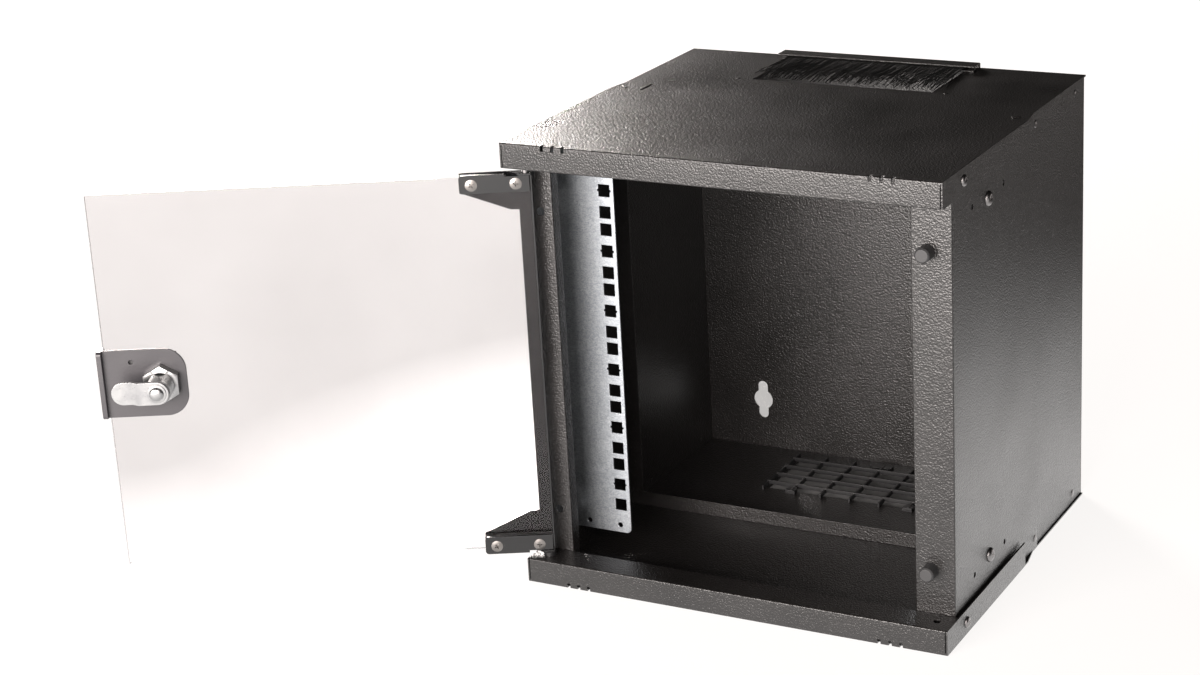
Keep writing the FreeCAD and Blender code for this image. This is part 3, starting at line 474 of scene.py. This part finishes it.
# ---------------------------------------------------------------- fasteners
def cross_recess(across, deep, top):
    """Cutter for a cross recess, open upwards."""
    half_arm = across * 0.22
    arm = block("recess_arm", (-across, -half_arm, top - deep), (across, half_arm, top + 1), narrow=0.55)
    quarter = Matrix.Rotation(math.radians(90), 4, "Z")
    other = bpy.data.objects.new("recess_other", arm.data.copy())
    bpy.context.scene.collection.objects.link(other)
    other.data.transform(quarter)
    apply_modifier(arm, "BOOLEAN", object=other, operation="UNION", solver="EXACT")
    bpy.data.objects.remove(other)
    return arm


def crossed_screw(name, outline, across, deep, top):
    """Turns a screw from its outline and sinks a cross recess into its head."""
    screw = turned(name, outline)
    cut_with(screw, cross_recess(across, deep, top))
    soften(screw, 0.12, 2, 35)
    return screw


def pan_head(head, proud, shank, grip):
    """Outline of a pan-head screw whose seat is at height 0."""
    return [(0, proud), (head * 0.35, proud), (head * 0.62, proud * 0.92), (head * 0.84, proud * 0.68),
            (head * 0.96, proud * 0.36), (head, 0.12), (head * 0.97, 0), (shank, 0),
            (shank, -grip + 0.5), (shank - 0.5, -grip), (0, -grip)]


def through_sides(seat, inward, rises):
    """A place on each side of the cabinet at each height, facing outwards."""
    places = []
    for side in (-1, 1):
        turn = Matrix.Rotation(math.radians(90 * side), 4, "Y")
        for rise in rises:
            spin = Matrix.Rotation(math.radians(23 + 31 * side + 0.17 * rise), 4, "Z")
            places.append(Matrix.Translation(point(side * seat, inward, rise)) @ turn @ spin)
    return places


def fastened(source, name, places, slot_name, node, finish=None):
    """Puts copies of a source in their places, to stand for a node."""
    piece = copies(source, name, places)
    dress(piece, slot_name, BODY_OF[node], finish)
    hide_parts(node)


# outer faces of the covers, the side panels and the rear box, from the middle
COVER_FACE, PANEL_FACE, BOX_FACE = 160, 157, 155.8
COVER_SCREW_RISES = (8.6, TALL - 8.6)
RAIL_SCREW_RISES = (35.5, TALL - 35.5)
RIVET_RISES = (8.7, TALL - 8.7)

cover_screw = crossed_screw("cover_screw", pan_head(head=4.0, proud=1.9, shank=1.5, grip=6),
                            across=2.3, deep=1.4, top=1.9)
fastened(cover_screw, "cover_screw_set", through_sides(COVER_FACE, 37, COVER_SCREW_RISES),
         "black_screw", "cover_screws")
rail_screw = crossed_screw("rail_screw", pan_head(head=5.2, proud=2.6, shank=1.9, grip=8),
                           across=2.9, deep=1.8, top=2.6)
fastened(rail_screw, "rail_screw_set", through_sides(PANEL_FACE, 89.5, RAIL_SCREW_RISES),
         "black_screw", "rail_screws")
rivet = turned("rivet", [(0, 0.85), (1.0, 0.8), (1.9, 0.62), (2.6, 0.34), (3, 0.02), (2.9, 0),
                         (1.6, 0), (1.6, -1.15), (0, -1.15)], 24)
soften(rivet, 0.08)
fastened(rivet, "rivet_set",
         through_sides(PANEL_FACE, 183, RIVET_RISES) + through_sides(BOX_FACE, 271, RIVET_RISES),
         "black_screw", "rear_rivets")

CLAMP_SEAT = 2.5
CLAMP_ALONGS, CLAMP_RISES = (7, 37.6), (26.9, 295.8)
clamp_outline = [(0, 0.55), (1.6, 0.5), (3.0, 0.3), (4.2, 0), (2.0, -2), (2.0, -8.5), (0, -8.5)]
clamp_screw = crossed_screw("clamp_screw", clamp_outline, across=2.3, deep=1.7, top=0.55)
clamp_places = [on_door(along, CLAMP_SEAT, rise)
                @ Matrix.Rotation(math.radians(12 + along * 7 + rise), 4, "Z")
                for along in CLAMP_ALONGS for rise in CLAMP_RISES]
fastened(clamp_screw, "clamp_screw_set", clamp_places, "bright_zinc", "clamp_screws", "dull_zinc")


# ---------------------------------------------------------------- lock
LOCK_ALONG, LOCK_RISE = 263.5, 163.7


def on_lock(inward):
    """A place on the lock's axis, so far into the shut cabinet."""
    return on_door(LOCK_ALONG, inward, LOCK_RISE)


def threaded_barrel():
    """Barrel with a rim outside the glass, a fine thread, two flats and a stop notch."""
    head_back, end, bore = -4.5, 23.5, 6.51
    root, crest, pitch, run_out = 8.75, 9.4, 1.0, 0.6
    flat, notch = 8.2, 2.4
    outline = [(bore, head_back - 3.5), (10.4, head_back - 3.5), (11.2, head_back - 3.2),
               (11.9, head_back - 2.4), (12.2, head_back - 1), (12.2, head_back), (8.9, head_back),
               (8.9, 2.6)]
    rise = 2.6
    while rise + pitch < end - run_out:
        outline += [(crest, rise + pitch * 0.4), (crest, rise + pitch * 0.6), (root, rise + pitch)]
        rise += pitch
    outline += [(8.6, end), (bore, end), (bore, head_back - 3.5)]
    barrel = turned("lock_barrel", outline, 40)
    flats = block("flats", (-14, -flat, -6), (14, flat, 30))
    head = block("head_room", (-14, -14, -12), (14, 14, head_back))
    apply_modifier(flats, "BOOLEAN", object=head, operation="UNION", solver="EXACT")
    bpy.data.objects.remove(head)
    cut_with(barrel, flats, "INTERSECT")
    cut_with(barrel, block("stop_notch", (5, -notch, end - 2), (14, notch, end + 2)))
    only(barrel)
    bpy.ops.object.shade_smooth_by_angle(angle=math.radians(35))
    return barrel


NUT_SEAT, BOLT_SEAT, NUT_FLATS = 2.5, 26.0, 24.2
fastened(threaded_barrel(), "lock_barrel_threaded", [on_lock(0)], "dark_zinc", "lock_housing")
nut = turned("nut", [(9.4, 0), (12.1, 0), (14.0, 0.9), (14.0, 6.1), (12.1, 7), (9.4, 7), (9.4, 0)], 48)
bpy.ops.object.select_all(action="DESELECT")
bpy.ops.mesh.primitive_cylinder_add(vertices=6, radius=NUT_FLATS / math.sqrt(3) * MM,
                                    depth=20 * MM)
cut_with(nut, bpy.context.object, "INTERSECT")
soften(nut, 0.25, 3, 40)
fastened(nut, "lock_nut_chamfered", [on_lock(NUT_SEAT)], "bright_zinc", "lock_nut")
bolt = turned("bolt", [(0, 3.1), (1.8, 3.05), (3.2, 2.85), (4.3, 2.4), (4.9, 1.7), (5.0, 0.7),
                       (6.5, 0.6), (6.7, 0.4), (6.7, 0), (2.4, 0), (2.4, -9), (0, -9)], 36)
soften(bolt, 0.1)
fastened(bolt, "cam_bolt_turned", [on_lock(BOLT_SEAT)], "bright_zinc", "cam_bolt")


# ---------------------------------------------------------------- brush
def brush_row():
    """Tufts of nylon that lie forward over the cable cut-out from the holder's grip."""
    root_radius, tip_radius, reach_out = 0.42, 0.2, 60
    half_row, spacing = 69.4, 0.95
    grip, lowest, layer_step = 285.6, 328.1, 0.45
    draw = random.Random(11)
    bpy.ops.object.select_all(action="DESELECT")
    bpy.ops.mesh.primitive_cone_add(vertices=5, radius1=root_radius * MM, radius2=tip_radius * MM,
                                    depth=reach_out * MM, end_fill_type="NGON")
    tuft = bpy.context.object
    bpy.ops.object.mode_set(mode="EDIT")
    bpy.ops.mesh.select_all(action="SELECT")
    bpy.ops.transform.translate(value=(0, 0, reach_out / 2 * MM))
    for cut in (14, 28, 42, 52):
        bpy.ops.mesh.select_all(action="SELECT")
        bpy.ops.mesh.bisect(plane_co=(0, 0, cut * MM), plane_no=(0, 0, 1))
    bpy.ops.object.mode_set(mode="OBJECT")
    sideways_bend = 0.9
    for corner in tuft.data.vertices:
        corner.co.x += sideways_bend * corner.co.z ** 2
    lean = Matrix.Rotation(math.radians(90), 4, "X")
    places = []
    across = -half_row
    while across < half_row:
        for layer in (0, 1, 2):
            root = point(across + draw.uniform(-0.2, 0.2), grip, lowest + layer_step * layer)
            turn = Matrix.Rotation(math.radians(draw.gauss(0, 2.2)), 4, "Z")
            nod = Matrix.Rotation(math.radians(draw.uniform(0.2, 1.1) + 0.3 * layer), 4, "X")
            reach = Matrix.Scale(draw.uniform(0.93, 1.04), 4, (0, 1, 0))
            roll = Matrix.Rotation(draw.uniform(0, 2 * math.pi), 4, "Z")
            places.append(Matrix.Translation(root) @ turn @ nod @ reach @ lean @ roll)
        across += spacing
    return copies(tuft, "brush_tufts", places)


bristles = brush_row()
dress(bristles, "bristle", CABINET)
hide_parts("brush_bristles")


# ---------------------------------------------------------------- small pressings on the top
def pressings():
    """Two low pips and two low slanting tabs on the top cover."""
    pip_aside, pip_back = 81, 212
    tab_seats = ((150, 163.5, 40), (-151, 165.5, -40))
    pip = turned("pip", [(0, 0.5), (0.8, 0.46), (1.3, 0.28), (1.7, 0)], 20)
    pip_places = [Matrix.Translation(point(x, pip_back, TALL)) for x in (-pip_aside, pip_aside)]
    pips = copies(pip, "top_pips", pip_places)
    dress(pips, "black_coat", CABINET)
    tab = block("tab", (-3.2, -0.9, -0.2), (3.2, 0.9, 0.7))
    soften(tab, 0.35, 3)
    tab_places = [Matrix.Translation(point(x, y, TALL))
                  @ Matrix.Rotation(math.radians(turn), 4, "Z") for x, y, turn in tab_seats]
    tabs = copies(tab, "top_tabs", tab_places)
    dress(tabs, "black_coat", CABINET)


pressings()


# ---------------------------------------------------------------- studio
FLOOR_GREY = (0.16, 0.16, 0.16, 1)
FLOOR_GLOW = (1, 0.98, 0.965, 1)
# half sizes of the patch under the cabinet that doesn't glow, a painted shade, and the middle of the grey spot, a
# painted shadow behind the cabinet
PAINTED_SHADE_PATCH = (("X", 0.150), ("Y", 0.140))
PAINTED_SHADOW_SPOT = (-0.155, 0.25, 0)


def fade(tree, source, span, values):
    """Goes from one value to another while the source crosses a span, in metres."""
    node = add(tree, "ShaderNodeMapRange", From_Min=span[0], From_Max=span[1],
               To_Min=values[0], To_Max=values[1])
    tree.links.new(source, node.inputs["Value"])
    return node.outputs[0]


def floor_distance(tree, place, centre=None):
    """Distance from the frame's origin, or from another point on the floor."""
    node = add(tree, "ShaderNodeVectorMath", operation="DISTANCE" if centre else "LENGTH")
    if centre:
        node.inputs[1].default_value = centre
    tree.links.new(place, node.inputs[0])
    return node.outputs["Value"]


def mirrored_glow(tree, place, back):
    """Floor's strength in reflections: it fades with distance, but grows ahead of the cabinet."""
    reach = floor_distance(tree, place)
    near = fade(tree, reach, (0.28, 0.78), (1.9, 0.0))
    far = fade(tree, reach, (0.25, 1.0), (1.3, 2.0))
    ahead = fade(tree, back, (-0.05, -0.30), (0.0, 1.0))
    not_ahead = math_node(tree, "SUBTRACT", 1.0, ahead)
    return math_node(tree, "ADD", math_node(tree, "MULTIPLY", far, ahead),
                     math_node(tree, "MULTIPLY", near, not_ahead))


def studio_floor():
    """Floor that glows white for the camera and with other strengths in reflections.

    The patch under the cabinet doesn't glow, as painted shade. A soft grey spot behind the cabinet is a painted
    shadow.
    """
    bpy.ops.mesh.primitive_plane_add(size=30, location=(0, 0, 0))
    floor = bpy.context.object
    floor.name = "floor"
    material = bpy.data.materials.new("studio_white")
    material.use_nodes = True
    tree = material.node_tree
    tree.nodes.clear()
    out = tree.nodes.new("ShaderNodeOutputMaterial")
    diffuse = add(tree, "ShaderNodeBsdfDiffuse", Color=FLOOR_GREY)
    glow = add(tree, "ShaderNodeEmission", Color=FLOOR_GLOW)
    path = tree.nodes.new("ShaderNodeLightPath")
    direct = math_node(tree, "MAXIMUM", path.outputs["Is Camera Ray"],
                       path.outputs["Is Transmission Ray"])
    place = tree.nodes.new("ShaderNodeTexCoord").outputs["Object"]
    split = tree.nodes.new("ShaderNodeSeparateXYZ")
    tree.links.new(place, split.inputs[0])
    # painted shade: the floor under the cabinet gets no glow, so it shows dark through the cable grid
    beside = [math_node(tree, "GREATER_THAN", math_node(tree, "ABSOLUTE", split.outputs[axis]), half)
              for axis, half in PAINTED_SHADE_PATCH]
    outside = math_node(tree, "MAXIMUM", *beside)
    # painted shadow: the floor's glow for the camera dims in a soft grey spot behind the cabinet, seen through the
    # back panel's keyhole
    shade = fade(tree, floor_distance(tree, place, PAINTED_SHADOW_SPOT), (0.04, 0.14), (0.40, 0.88))
    shown = math_node(tree, "MULTIPLY", direct, shade)
    mirrored = math_node(tree, "MULTIPLY", path.outputs["Is Glossy Ray"],
                         mirrored_glow(tree, place, split.outputs["Y"]))
    total = math_node(tree, "MULTIPLY", math_node(tree, "MAXIMUM", shown, mirrored), outside)
    tree.links.new(total, glow.inputs["Strength"])
    both = tree.nodes.new("ShaderNodeAddShader")
    tree.links.new(diffuse.outputs[0], both.inputs[0])
    tree.links.new(glow.outputs[0], both.inputs[1])
    tree.links.new(both.outputs[0], out.inputs["Surface"])
    floor.data.materials.append(material)
    bpy.ops.object.select_all(action="DESELECT")


def studio_world():
    """White backdrop for the camera and through glass, a dim room for everything else."""
    world = bpy.data.worlds.new("studio")
    bpy.context.scene.world = world
    world.use_nodes = True
    tree = world.node_tree
    tree.nodes.clear()
    out = tree.nodes.new("ShaderNodeOutputWorld")
    path = tree.nodes.new("ShaderNodeLightPath")
    room = add(tree, "ShaderNodeBackground", Color=(1, 0.95, 0.93, 1), Strength=0.015)
    backdrop = add(tree, "ShaderNodeBackground", Color=(1, 1, 1, 1), Strength=1.0)
    seen = math_node(tree, "MAXIMUM", path.outputs["Is Camera Ray"],
                     path.outputs["Is Transmission Ray"])
    choose = tree.nodes.new("ShaderNodeMixShader")
    tree.links.new(seen, choose.inputs[0])
    tree.links.new(room.outputs[0], choose.inputs[1])
    tree.links.new(backdrop.outputs[0], choose.inputs[2])
    tree.links.new(choose.outputs[0], out.inputs["Surface"])


WARM = (1, 0.93, 0.89)
SOFTBOXES = (
    # name, place, aim, width, height, watts
    ("back_left_box", (-2.11, 1.945, 1.02), (-0.1, 0, 0.33), 0.9, 0.6, 140),
    ("front_box", (-0.2, -1.9, 0.5), (0.0, 0, 0.2), 1.6, 0.8, 105),
    ("right_box", (1.2, 1.15, 0.14), (0.157, 0.05, 0.08), 0.9, 0.28, 2),
    ("near_box", (1.3, -2.0, 1.3), (-0.25, -0.2, 0.15), 0.9, 0.9, 22),
)


def softbox(name, place, aim, wide, tall, watts):
    """A warm rectangular area light turned towards a point."""
    data = bpy.data.lights.new(name, "AREA")
    data.shape = "RECTANGLE"
    data.size, data.size_y = wide, tall
    data.energy = watts
    data.color = WARM
    lamp = bpy.data.objects.new(name, data)
    bpy.context.scene.collection.objects.link(lamp)
    lamp.location = place
    lamp.rotation_euler = (Vector(aim) - Vector(place)).to_track_quat("-Z", "Y").to_euler()


def studio_camera():
    """Camera that shows the cabinet as it stands at rest, from the front right and above."""
    data = bpy.data.cameras.new("camera")
    data.lens = 75.54
    data.sensor_width = 36
    data.shift_x, data.shift_y = -0.0305, -0.0242
    data.clip_start, data.clip_end = 0.05, 60
    camera = bpy.data.objects.new("camera", data)
    bpy.context.scene.collection.objects.link(camera)
    camera.location = (0.7079, -1.5569, 0.7618)
    camera.rotation_euler = tuple(math.radians(turn) for turn in (71.293, 2.822, 27.613))
    bpy.context.scene.camera = camera


studio_floor()
studio_world()
for lamp_settings in SOFTBOXES:
    softbox(*lamp_settings)
studio_camera()
bpy.context.scene.view_settings.view_transform = "Standard"
